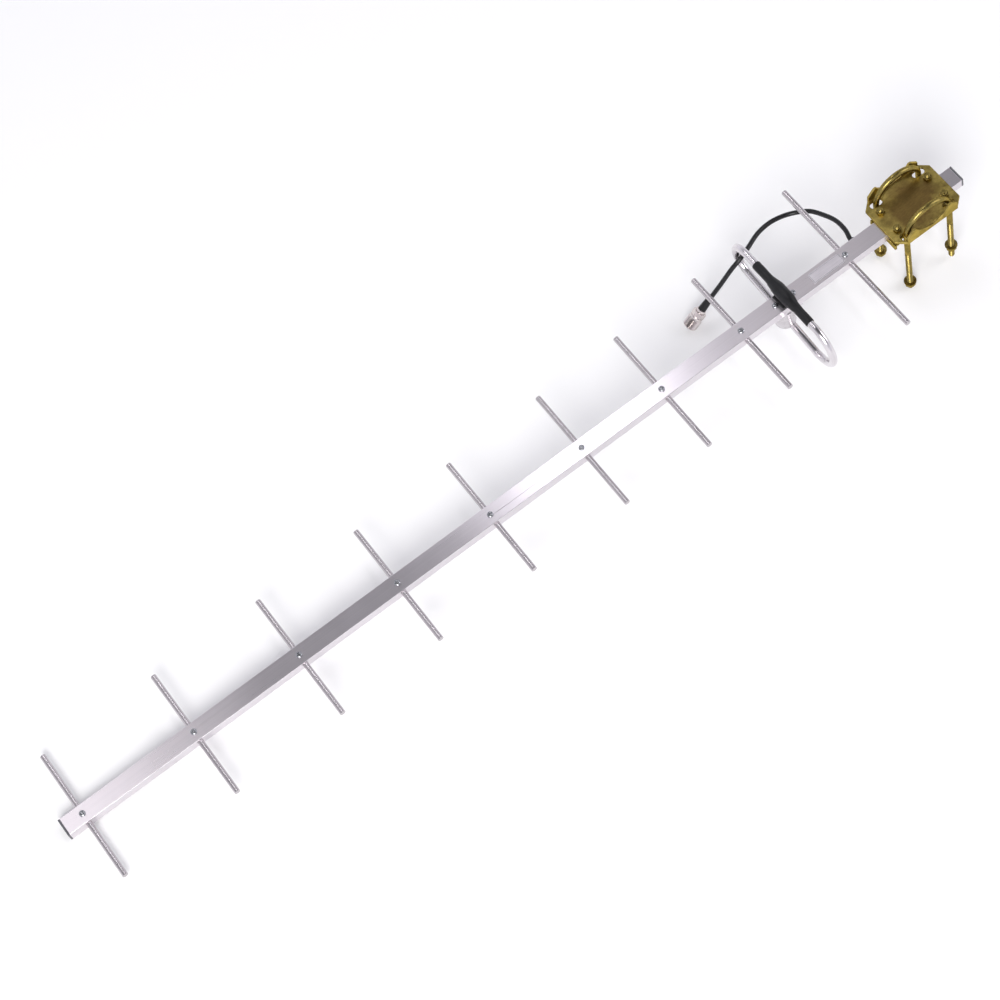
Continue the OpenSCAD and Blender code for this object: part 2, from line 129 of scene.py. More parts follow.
class YagiSizes(bpy.types.PropertyGroup):
    """Sizes of the details that the frame leaves plain."""
    boom_edge: length("Boom edge", "Rounding of the box tube's long edges", 0.0006)
    rod_chamfer: length("Rod chamfer", "Chamfer on the ends of the element rods", 0.0005)
    plate_edge: length("Plate edge", "Rounding of the pressed plate's edges", 0.0005)
    leg_pitch: length("Leg thread pitch", "Pitch of the thread on the U-bolt legs", 0.00127)
    leg_thread: length("Leg thread length", "Length of the thread on the U-bolt legs", 0.066)
    bolt_pitch: length("Bolt thread pitch", "Pitch of the thread on the clamp bolts", 0.0008)
    jack_pitch: length("Jack thread pitch", "Pitch of the thread on the jack", 0.001058)
    head_width: length("Screw head width", "Diameter of the pan heads", 0.0066)
    head_height: length("Screw head height", "Height of the pan heads", 0.002)
    recess_length: length("Recess length", "Length of a cross recess's arms, tip to tip", 0.0038)
    recess_width: length("Recess width", "Width of a cross recess's arms", 0.0009)
    recess_depth: length("Recess depth", "Depth of a cross recess", 0.0012)
    sleeve_ripple: length("Sleeve ripple", "Unevenness of the shrunk sleeve", 0.00025)
    screw_seed: IntProperty(name="Screw seed", description="Decides how far round each screw is turned", default=7)


class YagiColours(bpy.types.PropertyGroup):
    """Colours and finishes of the materials."""
    boom: colour("Boom", "Extruded aluminium of the boom", (0.73, 0.69, 0.72))
    rod: colour("Rods", "Drawn aluminium of the element rods", (0.50, 0.47, 0.485))
    dipole: colour("Dipole", "Aluminium tube of the folded dipole", (0.70, 0.67, 0.69))
    zinc: colour("Screws", "Bright zinc of the screws", (0.42, 0.43, 0.45))
    gold: colour("Yellow zinc", "Yellow passivated zinc on the U-bolts and nuts", (0.36, 0.27, 0.08))
    olive: colour("Olive zinc", "Darker zinc on the pressed plate", (0.24, 0.185, 0.055))
    brown: colour("Brown zinc", "Brown tarnish in the middle of the plate", (0.20, 0.128, 0.043))
    black: colour("Black", "Black of the lead, sleeve and pad", (0.007, 0.007, 0.008))
    cap: colour("Plugs", "Grey of the boom's end plugs", (0.10, 0.10, 0.11))
    nickel: colour("Nickel", "Nickel plate of the jack", (0.66, 0.605, 0.59))
    floor: colour("Floor", "Pale floor", (0.97, 0.97, 0.97))
    grain: factor("Grain", "Strength of the metal's grain", 0.5)


def sizes():
    return bpy.context.scene.yagi_sizes


def colours():
    return bpy.context.scene.yagi_colours


# ---- nodes ----------------------------------------------------------------------------------


class Wiring:
    """Adds nodes to one tree and joins them."""

    def __init__(self, tree):
        self.tree = tree

    def add(self, kind, inputs=None, **settings):
        node = self.tree.nodes.new(kind)
        for key, value in settings.items():
            setattr(node, key, value)
        for key, value in (inputs or {}).items():
            self.feed(node.inputs[key], value)
        return node

    def feed(self, socket, value):
        if isinstance(value, bpy.types.Node):
            value = value.outputs[0]
        if isinstance(value, bpy.types.NodeSocket):
            self.tree.links.new(value, socket)
        elif isinstance(value, (list, tuple)) and value and isinstance(value[0], bpy.types.Node):
            for each in value:
                self.tree.links.new(each.outputs[0], socket)
        else:
            socket.default_value = value

    def math(self, operation, a, b=0.0):
        return self.add("ShaderNodeMath", {0: a, 1: b}, operation=operation)


def rgba(c):
    return (c[0], c[1], c[2], 1.0)


def shade(c, k):
    return tuple(min(1.0, x * k) for x in c)


def surface(name, base, other, metallic, rough, grain, bump, cloud=60.0, patch=None, coords="Object",
            turn=LEAN, anisotropy=0.0, coat=0.0, coat_rough=0.1, specular=0.5, wear=0.0, edge=(1, 1, 1)):
    """A finish with long or round grain, slow clouds between two colours and fine scratches.

    grain is the grain's frequency per metre along the boom, across it and up. patch is a third colour
    with the middle and the reach, in metres, of the place it gathers in, or None. edge is the tint that
    a metal takes at a glancing angle."""
    material = bpy.data.materials.new(name)
    material.use_nodes = True
    tree = material.node_tree
    tree.nodes.clear()
    w = Wiring(tree)
    out = w.add("ShaderNodeOutputMaterial")
    bsdf = w.add("ShaderNodeBsdfPrincipled")
    w.tree.links.new(bsdf.outputs[0], out.inputs[0])
    place = w.add("ShaderNodeTexCoord").outputs[coords]
    level = w.add("ShaderNodeMapping", {"Vector": place, "Rotation": (0.0, -turn, 0.0)}, vector_type="POINT")
    stretched = w.add("ShaderNodeMapping", {"Vector": level, "Scale": grain}, vector_type="POINT")
    streak = w.add("ShaderNodeTexNoise", {"Vector": stretched, "Scale": 1.0, "Detail": 5.0, "Roughness": 0.62})
    finer = w.add("ShaderNodeTexNoise", {"Vector": stretched, "Scale": 3.7, "Detail": 3.0, "Roughness": 0.55})
    clouds = w.add("ShaderNodeTexNoise", {"Vector": level, "Scale": cloud, "Detail": 4.0, "Roughness": 0.6})
    soft = w.add("ShaderNodeMapRange", {"Value": clouds.outputs[0], "From Min": 0.32, "From Max": 0.68})
    body = w.add("ShaderNodeMix", {"Factor": soft.outputs[0], 6: rgba(base), 7: rgba(other)}, data_type="RGBA")
    colour_now = body.outputs[2]
    if patch:
        third, middle, reach = patch
        near = w.add("ShaderNodeVectorMath", {0: place, 1: middle}, operation="DISTANCE")
        wobble = w.math("MULTIPLY_ADD", clouds.outputs[0], reach * 0.9)
        wobble.inputs[2].default_value = -reach * 0.45
        field = w.math("ADD", near.outputs["Value"], wobble)
        amount = w.add("ShaderNodeMapRange", {"Value": field, "From Min": reach * 0.55, "From Max": reach * 1.1,
                                              "To Min": 0.9, "To Max": 0.0})
        mixed = w.add("ShaderNodeMix", {"Factor": amount.outputs[0], 6: colour_now, 7: rgba(third)},
                      data_type="RGBA")
        colour_now = mixed.outputs[2]
    lines = w.add("ShaderNodeMapRange", {"Value": streak.outputs[0], "From Min": 0.3, "From Max": 0.7,
                                         "To Min": 1.0 - 0.16 * bump[1], "To Max": 1.0 + 0.12 * bump[1]})
    toned = w.add("ShaderNodeMix", {"Factor": 1.0, 6: colour_now, 7: lines.outputs[0]}, data_type="RGBA",
                  blend_type="MULTIPLY")
    colour_now = toned.outputs[2]
    if wear:
        spots = w.add("ShaderNodeTexNoise", {"Vector": level, "Scale": 900.0, "Detail": 2.0, "Roughness": 0.7})
        marks = w.add("ShaderNodeMapRange", {"Value": spots.outputs[0], "From Min": 0.62, "From Max": 0.78,
                                             "To Min": 0.0, "To Max": wear})
        worn = w.add("ShaderNodeMix", {"Factor": marks.outputs[0], 6: colour_now, 7: rgba(shade(base, 0.35))},
                     data_type="RGBA")
        colour_now = worn.outputs[2]
    w.feed(bsdf.inputs["Base Color"], colour_now)
    bsdf.inputs["Metallic"].default_value = metallic
    blend = w.math("ADD", w.math("MULTIPLY", streak.outputs[0], 0.6), w.math("MULTIPLY", clouds.outputs[0], 0.4))
    rough_now = w.add("ShaderNodeMapRange", {"Value": blend, "From Min": 0.3, "From Max": 0.7,
                                             "To Min": rough[0], "To Max": rough[1]})
    w.feed(bsdf.inputs["Roughness"], rough_now.outputs[0])
    height = w.math("ADD", streak.outputs[0], w.math("MULTIPLY", finer.outputs[0], 0.45))
    relief = w.add("ShaderNodeBump", {"Strength": 1.0, "Distance": bump[0], "Height": height})
    w.feed(bsdf.inputs["Normal"], relief)
    bsdf.inputs["Specular IOR Level"].default_value = specular
    bsdf.inputs["Coat Weight"].default_value = coat
    bsdf.inputs["Coat Roughness"].default_value = coat_rough
    bsdf.inputs["Specular Tint"].default_value = rgba(edge)
    if anisotropy:
        bsdf.inputs["Anisotropic"].default_value = anisotropy
        w.feed(bsdf.inputs["Tangent"], w.add("ShaderNodeTangent", direction_type="UV_MAP", uv_map="grain"))
    return material


def finish_named(name):
    """The material of that name, made when it is first asked for."""
    known = bpy.data.materials.get(name)
    if known:
        return known
    c = colours()
    g = c.grain
    middle = tuple(BOOM @ Vector((CLAMP_X, 0, PLATE_T)))
    recipes = {
        "satin_extruded_aluminium": dict(
            base=c.boom, other=shade(c.boom, 1.10), metallic=1.0, rough=(0.26, 0.33), grain=(3, 2400, 2400),
            bump=(0.000002 * g, 0.35), cloud=9, anisotropy=0.85, wear=0.06),
        "drawn_aluminium_rod": dict(
            base=c.rod, other=shade(c.rod, 1.12), metallic=1.0, rough=(0.12, 0.22), grain=(1400, 12, 1400),
            bump=(0.000012 * g, 1.0), cloud=40, wear=0.15),
        "polished_aluminium_tube": dict(
            base=c.dipole, other=shade(c.dipole, 1.08), metallic=1.0, rough=(0.12, 0.24), grain=(700, 9, 1),
            bump=(0.000014 * g, 0.8), cloud=45, coords="UV", turn=0.0, wear=0.1),
        "turned_aluminium": dict(
            base=shade(c.dipole, 0.85), other=shade(c.dipole, 0.95), metallic=1.0, rough=(0.22, 0.36),
            grain=(60, 60, 2200), bump=(0.000012 * g, 0.7), cloud=90),
        "bright_zinc_screw": dict(
            base=c.zinc, other=shade(c.zinc, 0.8), metallic=1.0, rough=(0.18, 0.34), grain=(700, 700, 700),
            bump=(0.00001 * g, 0.7), cloud=260, wear=0.3),
        "golden_passivated_zinc": dict(
            base=c.gold, other=(c.gold[0] * 0.5, c.gold[1] * 0.54, c.gold[2] * 0.6), metallic=1.0,
            rough=(0.2, 0.38), grain=(500, 500, 160), bump=(0.00002 * g, 0.9), cloud=120, wear=0.35,
            edge=(0.8, 0.7, 0.45)),
        "olive_passivated_zinc": dict(
            base=c.olive, other=(c.olive[0] * 2.3, c.olive[1] * 2.3, c.olive[2] * 2.2), metallic=1.0,
            rough=(0.26, 0.44), grain=(260, 700, 260), bump=(0.00003 * g, 1.0), cloud=75,
            patch=(c.brown, middle, 0.034), wear=0.35, edge=(0.7, 0.6, 0.4)),
        "moulded_black_plastic": dict(
            base=c.black, other=shade(c.black, 1.6), metallic=0.0, rough=(0.42, 0.58), grain=(1500, 1500, 1500),
            bump=(0.00004 * g, 0.6), cloud=150, specular=0.45),
        "shrink_tubing": dict(
            base=c.black, other=shade(c.black, 1.5), metallic=0.0, rough=(0.30, 0.44), grain=(220, 60, 1),
            bump=(0.00009 * g, 0.5), cloud=120, coords="UV", turn=0.0, specular=0.3),
        "grey_plug_plastic": dict(
            base=c.cap, other=shade(c.cap, 1.25), metallic=0.0, rough=(0.40, 0.56), grain=(1200, 1200, 1200),
            bump=(0.00004 * g, 0.6), cloud=160, specular=0.45),
        "black_rubber": dict(
            base=shade(c.black, 1.3), other=shade(c.black, 2.0), metallic=0.0, rough=(0.55, 0.72),
            grain=(1600, 1600, 1600), bump=(0.00004 * g, 0.6), cloud=200, specular=0.35),
        "gloss_black_jacket": dict(
            base=c.black, other=shade(c.black, 1.35), metallic=0.0, rough=(0.20, 0.32), grain=(160, 16, 1),
            bump=(0.00004 * g, 0.4), cloud=90, coords="UV", turn=0.0, coat=0.08, coat_rough=0.12, specular=0.32),
        "brown_thin_coax": dict(
            base=(0.20, 0.09, 0.035), other=(0.26, 0.12, 0.05), metallic=0.0, rough=(0.25, 0.38),
            grain=(40, 800, 800), bump=(0.00002 * g, 0.5), cloud=140),
        "bright_nickel": dict(
            base=c.nickel, other=shade(c.nickel, 1.1), metallic=1.0, rough=(0.10, 0.24), grain=(900, 900, 900),
            bump=(0.000006 * g, 0.7), cloud=300, wear=0.15),
        "white_ptfe": dict(
            base=(0.80, 0.80, 0.78), other=(0.86, 0.86, 0.84), metallic=0.0, rough=(0.35, 0.48),
            grain=(900, 900, 900), bump=(0.00001 * g, 0.3), cloud=250),
        "gold_plated_pin": dict(
            base=(0.83, 0.60, 0.24), other=(0.90, 0.68, 0.30), metallic=1.0, rough=(0.12, 0.22),
            grain=(900, 900, 900), bump=(0.000005 * g, 0.4), cloud=300),
        "satin_label_foil": dict(
            base=(0.60, 0.57, 0.60), other=(0.68, 0.65, 0.68), metallic=0.85, rough=(0.34, 0.46),
            grain=(30, 1100, 1100), bump=(0.00001 * g, 0.7), cloud=60),
        "label_print": dict(
            base=(0.16, 0.16, 0.18), other=(0.21, 0.21, 0.23), metallic=0.0, rough=(0.40, 0.52),
            grain=(900, 900, 900), bump=(0.000008 * g, 0.4), cloud=200),
    }
    return surface(name, **recipes[name])


# ---- meshes ------------------------------------------------------------------------------------


def add_object(name, mesh):
    obj = bpy.data.objects.new(name, mesh)
    bpy.context.scene.collection.objects.link(obj)
    return obj


def mesh_of(name, bm, place):
    """The bmesh as a new mesh, put in its place in the row frame."""
    bmesh.ops.transform(bm, matrix=place, verts=bm.verts)
    mesh = bpy.data.meshes.new(name)
    bm.to_mesh(mesh)
    bm.free()
    return mesh


def smooth(mesh, degrees=32.0):
    mesh.polygons.foreach_set("use_smooth", [True] * len(mesh.polygons))
    mesh.set_sharp_from_angle(angle=math.radians(degrees))
    mesh.update()


def baked(obj):
    """Replaces an object's mesh and modifiers with the mesh that they make."""
    bpy.context.view_layer.update()
    mesh = bpy.data.meshes.new_from_object(obj.evaluated_get(bpy.context.evaluated_depsgraph_get()))
    obj.modifiers.clear()
    obj.data = mesh
    return obj


def rounded(obj, width, segments=2, by_weight=False, degrees=35.0):
    """Rounds an object's sharp edges, and bakes it."""
    bevel = obj.modifiers.new("edge", "BEVEL")
    bevel.width = width
    bevel.segments = segments
    bevel.use_clamp_overlap = False
    bevel.limit_method = "WEIGHT" if by_weight else "ANGLE"
    bevel.angle_limit = math.radians(degrees)
    return baked(obj)


def dress(obj, body, slot, material, *nodes, sharp=32.0):
    """Gives a finished piece its material and body, and hides the nodes it stands for. slot is not used."""
    obj.data.materials.clear()
    obj.data.materials.append(finish_named(material))
    smooth(obj.data, sharp)
    level = obj.modifiers.new("level", "WEIGHTED_NORMAL")
    level.keep_sharp = True
    level.weight = 100
    baked(obj)
    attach(obj, body)
    if nodes:
        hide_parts(*nodes)
    return obj


def turned_piece(name, profile, around, place, slot, material, node, ring=False):
    """A lathe shape as a finished piece of the antenna."""
    shape = add_object(name, mesh_of(name, turned(profile, around, ring=ring), place))
    return dress(shape, "antenna", slot, material, node)


def edged_piece(node, name, width, slot, material, pick=None, segments=3):
    """A CAD node with rounded edges, as a finished piece of the antenna."""
    return dress(edged_copy(node, name, width, pick, segments), "antenna", slot, material, node)


def frames_along(points):
    """Tangents and untwisted side directions along a line of points."""
    tangents = []
    for i in range(len(points)):
        tangents.append((points[min(i + 1, len(points) - 1)] - points[max(i - 1, 0)]).normalized())
    first = tangents[0]
    helper = Vector((0, 0, 1)) if abs(first.z) < 0.9 else Vector((1, 0, 0))
    side = first.cross(helper).normalized()
    sides = []
    for t in tangents:
        side = (side - side.dot(t) * t).normalized()
        sides.append(side.copy())
    return tangents, sides


def sweep(points, radii, around=28):
    """A round tube along the points as a bmesh, closed at both ends, with a UV map in metres."""
    bm = bmesh.new()
    uv = bm.loops.layers.uv.new("UVMap")
    tangents, sides = frames_along(points)
    along = [0.0]
    for a, b in zip(points, points[1:]):
        along.append(along[-1] + (b - a).length * MM)
    rings = []
    for p, r, t, s in zip(points, radii, tangents, sides):
        other = t.cross(s)
        rings.append([bm.verts.new(p + r * (math.cos(a) * s + math.sin(a) * other))
                      for a in (math.tau * k / around for k in range(around))])
    girth = math.tau * max(radii) * MM
    for i in range(len(rings) - 1):
        for k in range(around):
            j = (k + 1) % around
            face = bm.faces.new((rings[i][k], rings[i][j], rings[i + 1][j], rings[i + 1][k]))
            for loop, (u, v) in zip(face.loops, ((k, i), (k + 1, i), (k + 1, i + 1), (k, i + 1))):
                loop[uv].uv = (girth * u / around, along[v])
    bm.faces.new(list(reversed(rings[0])))
    bm.faces.new(rings[-1])
    bmesh.ops.recalc_face_normals(bm, faces=bm.faces)
    return bm


def turned(profile, around=48, ring=False):
    """A lathe shape about Z from (radius, height) points; a ring's profile is closed on itself."""
    bm = bmesh.new()
    uv = bm.loops.layers.uv.new("UVMap")
    loops = []
    for r, z in profile:
        if r < 1e-6:
            loops.append([bm.verts.new((0, 0, z))] * around)
        else:
            loops.append([bm.verts.new((r * math.cos(a), r * math.sin(a), z))
                          for a in (math.tau * k / around for k in range(around))])
    last = len(loops) if ring else len(loops) - 1
    girth = math.tau * max(r for r, _ in profile) * MM
    run = 0.0
    for i in range(last):
        n = (i + 1) % len(loops)
        step = math.hypot(profile[n][0] - profile[i][0], profile[n][1] - profile[i][1]) * MM
        for k in range(around):
            j = (k + 1) % around
            corners = [(loops[i][k], k, run), (loops[i][j], k + 1, run),
                       (loops[n][j], k + 1, run + step), (loops[n][k], k, run + step)]
            kept = []
            for corner in corners:
                if all(corner[0] is not other[0] for other in kept):
                    kept.append(corner)
            if len(kept) < 3:
                continue
            face = bm.faces.new([corner[0] for corner in kept])
            for loop, corner in zip(face.loops, kept):
                loop[uv].uv = (girth * corner[1] / around, corner[2])
        run += step
    bmesh.ops.recalc_face_normals(bm, faces=bm.faces)
    return bm


def merged_copy(node, name):
    """A copy of a CAD node's mesh with its triangles joined and its flat faces whole."""
    mesh = frame["nodes"][node].data.copy()
    mesh.name = name
    bm = bmesh.new()
    bm.from_mesh(mesh)
    bmesh.ops.remove_doubles(bm, verts=bm.verts, dist=2e-6)
    bmesh.ops.dissolve_limit(bm, angle_limit=math.radians(0.6), verts=bm.verts, edges=bm.edges)
    bm.to_mesh(mesh)
    bm.free()
    return mesh


def edged_copy(node, name, width, pick=None, segments=2):
    """A copy of a CAD node with its sharp edges rounded; pick chooses edges by their middle, in mm."""
    mesh = merged_copy(node, name)
    bm = bmesh.new()
    bm.from_mesh(mesh)
    weight = bm.edges.layers.float.get("bevel_weight_edge") or bm.edges.layers.float.new("bevel_weight_edge")
    for edge in bm.edges:
        middle = BOOM_INVERSE @ ((edge.verts[0].co + edge.verts[1].co) / 2)
        sharp = len(edge.link_faces) == 2 and edge.calc_face_angle(0.0) > math.radians(35)
        edge[weight] = 1.0 if sharp and (pick is None or pick(middle)) else 0.0
    bm.to_mesh(mesh)
    bm.free()
    return rounded(add_object(name, mesh), width, segments, by_weight=True)


def grain_map(mesh):
    """A UV map whose U runs across the boom, the way its lengthwise grain spreads a highlight."""
    layer = mesh.uv_layers.get("grain") or mesh.uv_layers.new(name="grain")
    for loop in mesh.loops:
        p = BOOM_INVERSE @ mesh.vertices[loop.vertex_index].co
        layer.data[loop.index].uv = ((p.y + p.z * 1.31) * MM, p.x * MM)


# ---- shapes that repeat, made by geometry nodes -------------------------------------------------


def new_tree(name, inputs):
    """An empty geometry tree with named inputs; returns its wiring and its input and output nodes."""
    tree = bpy.data.node_groups.new(name, "GeometryNodeTree")
    tree.interface.new_socket("Geometry", in_out="INPUT", socket_type="NodeSocketGeometry")
    for label, kind, default in inputs:
        socket = tree.interface.new_socket(label, in_out="INPUT", socket_type="NodeSocket" + kind)
        if default is not None:
            socket.default_value = default
    tree.interface.new_socket("Geometry", in_out="OUTPUT", socket_type="NodeSocketGeometry")
    w = Wiring(tree)
    return w, w.add("NodeGroupInput").outputs, w.add("NodeGroupOutput")


def end_tree(w, given, out, geometry):
    """Ends a tree in Realize Instances and Set Material."""
    real = w.add("GeometryNodeRealizeInstances", {0: geometry})
    coloured = w.add("GeometryNodeSetMaterial", {"Geometry": real, "Material": given["Material"]})
    w.feed(out.inputs[0], coloured)
    return w.tree


def swept(w, curve, profile, scale=1.0):
    """Curve to Mesh with capped ends, its profile scaled along the curve."""
    return w.add("GeometryNodeCurveToMesh", {"Curve": curve, "Profile Curve": profile, "Scale": scale,
                                             "Fill Caps": True})


def drilled_prism_tree():
    """A nut, washer or bolt head: a prism with turned-off corners and a hole."""
    known = bpy.data.node_groups.get("drilled prism")
    if known:
        return known
    w, given, out = new_tree("drilled prism", [
        ("Sides", "Int", 6), ("Corner Radius", "Float", 5.8), ("End Radius", "Float", 4.8),
        ("Height", "Float", 5.0), ("Bore", "Float", 3.0), ("Material", "Material", None)])
    prism = w.add("GeometryNodeMeshCylinder", {"Vertices": given["Sides"], "Radius": given["Corner Radius"],
                                               "Depth": given["Height"]})
    half = w.math("MULTIPLY", given["Height"], 0.52)
    low = w.add("ShaderNodeCombineXYZ", {"Z": w.math("MULTIPLY", half, -1.0)})
    high = w.add("ShaderNodeCombineXYZ", {"Z": half})
    line = w.add("GeometryNodeCurvePrimitiveLine", {"Start": low, "End": high})
    three = w.add("GeometryNodeResampleCurve", {"Curve": line, "Count": 3})
    part = w.add("GeometryNodeSplineParameter").outputs["Factor"]
    inward = w.math("MINIMUM", part, w.math("SUBTRACT", 1.0, part))
    flare = w.math("MULTIPLY", w.math("MULTIPLY", inward, given["Height"]), 1.75)
    circle = w.add("GeometryNodeCurvePrimitiveCircle", {"Resolution": 60, "Radius": 1.0})
    cone = swept(w, three, circle, w.math("ADD", given["End Radius"], flare))
    cut = w.add("GeometryNodeMeshBoolean", operation="INTERSECT", solver="EXACT")
    w.tree.links.new(prism.outputs["Mesh"], cut.inputs["Mesh 2"])
    w.tree.links.new(cone.outputs[0], cut.inputs["Mesh 2"])
    drill = w.add("GeometryNodeMeshCylinder", {"Vertices": 40, "Radius": given["Bore"],
                                               "Depth": w.math("MULTIPLY", given["Height"], 2.0)})
    bored = w.add("GeometryNodeMeshBoolean", {"Mesh 1": cut}, operation="DIFFERENCE", solver="EXACT")
    w.tree.links.new(drill.outputs["Mesh"], bored.inputs["Mesh 2"])
    return end_tree(w, given, out, bored)


def thread_tree():
    """The ridge of a screw thread, from z = 0 up, that runs out at both ends."""
    known = bpy.data.node_groups.get("thread ridge")
    if known:
        return known
    w, given, out = new_tree("thread ridge", [
        ("Radius", "Float", 3.2), ("Pitch", "Float", 1.27), ("Length", "Float", 60.0), ("Steps", "Int", 24),
        ("Material", "Material", None)])
    turns = w.math("DIVIDE", given["Length"], given["Pitch"])
    middle = w.math("SUBTRACT", given["Radius"], w.math("MULTIPLY", given["Pitch"], 0.5))
    spiral = w.add("GeometryNodeCurveSpiral", {
        "Resolution": given["Steps"], "Rotations": turns, "Start Radius": middle, "End Radius": middle,
        "Height": given["Length"]})
    upright = w.add("GeometryNodeSetCurveNormal", {"Curve": spiral}, mode="Z_UP")
    part = w.add("GeometryNodeSplineParameter").outputs["Factor"]
    ends = w.math("MULTIPLY", w.math("MINIMUM", part, w.math("SUBTRACT", 1.0, part)), turns)
    full = w.math("MAXIMUM", w.math("MINIMUM", w.math("MULTIPLY", ends, 1.5), 1.0), 0.05)
    diamond = w.add("GeometryNodeCurvePrimitiveCircle", {"Resolution": 4,
                                                         "Radius": w.math("MULTIPLY", given["Pitch"], 0.5)})
    return end_tree(w, given, out, swept(w, upright, diamond, full))


def pan_screw_tree():
    """A pan-head screw with a cross recess on each point, each turned by its own angle."""
    known = bpy.data.node_groups.get("pan screws")
    if known:
        return known
    w, given, out = new_tree("pan screws", [
        ("Head Radius", "Float", 3.3), ("Head Height", "Float", 2.0), ("Recess Length", "Float", 3.6),
        ("Recess Width", "Float", 0.9), ("Recess Depth", "Float", 1.1), ("Shank Radius", "Float", 1.5),
        ("Shank Length", "Float", 6.4), ("Seed", "Int", 7), ("Material", "Material", None)])
    line = w.add("GeometryNodeCurvePrimitiveLine", {
        "Start": (0.0, 0.0, 0.0), "End": w.add("ShaderNodeCombineXYZ", {"Z": given["Head Height"]})})
    steps = w.add("GeometryNodeResampleCurve", {"Curve": line, "Count": 12})
    part = w.add("GeometryNodeSplineParameter").outputs["Factor"]
    fall = w.math("SUBTRACT", 1.0, w.math("MULTIPLY", w.math("POWER", part, 3.2), 0.78))
    radius = w.math("MULTIPLY", given["Head Radius"], w.math("SQRT", fall))
    circle = w.add("GeometryNodeCurvePrimitiveCircle", {"Resolution": 36, "Radius": 1.0})
    head = swept(w, steps, circle, radius)
    deep = w.math("MULTIPLY", given["Recess Depth"], 2.0)
    cross = []
    for x, y in (("Recess Length", "Recess Width"), ("Recess Width", "Recess Length")):
        size = w.add("ShaderNodeCombineXYZ", {"X": given[x], "Y": given[y], "Z": deep})
        block = w.add("GeometryNodeMeshCube", {"Size": size})
        up = w.add("ShaderNodeCombineXYZ", {"Z": given["Head Height"]})
        cross.append(w.add("GeometryNodeTransform", {"Geometry": block, "Translation": up}))
    cut = w.add("GeometryNodeMeshBoolean", {"Mesh 1": head, "Mesh 2": cross}, operation="DIFFERENCE",
                solver="EXACT")
    depth = w.add("ShaderNodeCombineXYZ", {"Z": w.math("MULTIPLY", given["Shank Length"], -0.5)})
    shank = w.add("GeometryNodeTransform", {
        "Geometry": w.add("GeometryNodeMeshCylinder", {"Vertices": 24, "Radius": given["Shank Radius"],
                                                       "Depth": given["Shank Length"]}),
        "Translation": depth})
    whole = w.add("GeometryNodeJoinGeometry", {0: [cut, shank]})
    turn = w.add("FunctionNodeRandomValue", {"Seed": given["Seed"]}, data_type="FLOAT")
    turn.inputs[2].default_value = 0.0
    turn.inputs[3].default_value = math.pi / 2
    spin = w.add("ShaderNodeCombineXYZ", {"Z": turn.outputs[1]})
    points = w.add("GeometryNodeMeshToPoints", {"Mesh": given["Geometry"], "Radius": 0.1})
    placed = w.add("GeometryNodeInstanceOnPoints", {"Points": points, "Instance": whole, "Rotation": spin})
    return end_tree(w, given, out, placed)


def rod_tree():
    """A straight rod across the boom, centred on its screw."""
    known = bpy.data.node_groups.get("element rod")
    if known:
        return known
    w, given, out = new_tree("element rod", [
        ("Length", "Float", 150.0), ("Radius", "Float", 3.0), ("Material", "Material", None)])
    half = w.math("MULTIPLY", given["Length"], 0.5)
    line = w.add("GeometryNodeCurvePrimitiveLine", {
        "Start": w.add("ShaderNodeCombineXYZ", {"Y": w.math("MULTIPLY", half, -1.0)}),
        "End": w.add("ShaderNodeCombineXYZ", {"Y": half})})
    steps = w.add("GeometryNodeResampleCurve", {"Curve": line, "Count": 9})
    circle = w.add("GeometryNodeCurvePrimitiveCircle", {"Resolution": 40, "Radius": given["Radius"]})
    return end_tree(w, given, out, swept(w, steps, circle))


def grown(name, tree, material, values, place, points=((0, 0, 0),), after=None):
    """Runs a tree on a set of points, and returns its plain mesh, put in its place."""
    seed = bpy.data.meshes.new(name)
    seed.from_pydata([tuple(p) for p in points], [], [])
    obj = add_object(name, seed)
    modifier = obj.modifiers.new("shape", "NODES")
    modifier.node_group = tree
    ids = {s.name: s.identifier for s in tree.interface.items_tree if s.in_out == "INPUT"}
    modifier[ids["Material"]] = finish_named(material)
    for label, value in values.items():
        modifier[ids[label]] = value
    baked(obj)
    bm = bmesh.new()
    bm.from_mesh(obj.data)
    bmesh.ops.remove_doubles(bm, verts=bm.verts, dist=1e-4)
    if after:
        after(bm)
    obj.data = mesh_of(name, bm, place)
    if not len(obj.data.polygons):
        raise RuntimeError(f"{name}: its tree made no faces")
    return obj


def joined(name, objects):
    """One object that holds the meshes of several."""
    bm = bmesh.new()
    for each in objects:
        bm.from_mesh(each.data)
    mesh = bpy.data.meshes.new(name)
    bm.to_mesh(mesh)
    bm.free()
    for each in objects:
        bpy.data.objects.remove(each)
    return add_object(name, mesh)


def prism(name, material, place, sides, across, height, bore, chamfer):
    """A nut, washer or head standing on z = 0, in millimetres."""
    corner = across / 2 / math.cos(math.pi / sides)
    lifted = place @ Matrix.Translation((0, 0, height / 2))
    return grown(name, drilled_prism_tree(), material, {
        "Sides": sides, "Corner Radius": corner, "End Radius": across / 2 - chamfer, "Height": height,
        "Bore": bore}, lifted)


def thread(name, material, place, radius, pitch, run, steps=24):
    return grown(name, thread_tree(), material, {
        "Radius": radius, "Pitch": pitch, "Length": run, "Steps": steps}, place)


# ---- routes ------------------------------------------------------------------------------------------


def curve_through(points, step):
    """Points of a Catmull-Rom curve, about step apart."""
    p = [Vector(q) for q in points]
    line = []
    for i in range(len(p) - 1):
        a, b, c, d = p[max(i - 1, 0)], p[i], p[i + 1], p[min(i + 2, len(p) - 1)]
        n = max(1, round((c - b).length / step))
        for k in range(n):
            t = k / n
            line.append(0.5 * (2 * b + (c - a) * t + (2 * a - 5 * b + 4 * c - d) * t * t
                               + (3 * b - a - 3 * c + d) * t ** 3))
    return line + [p[-1]]


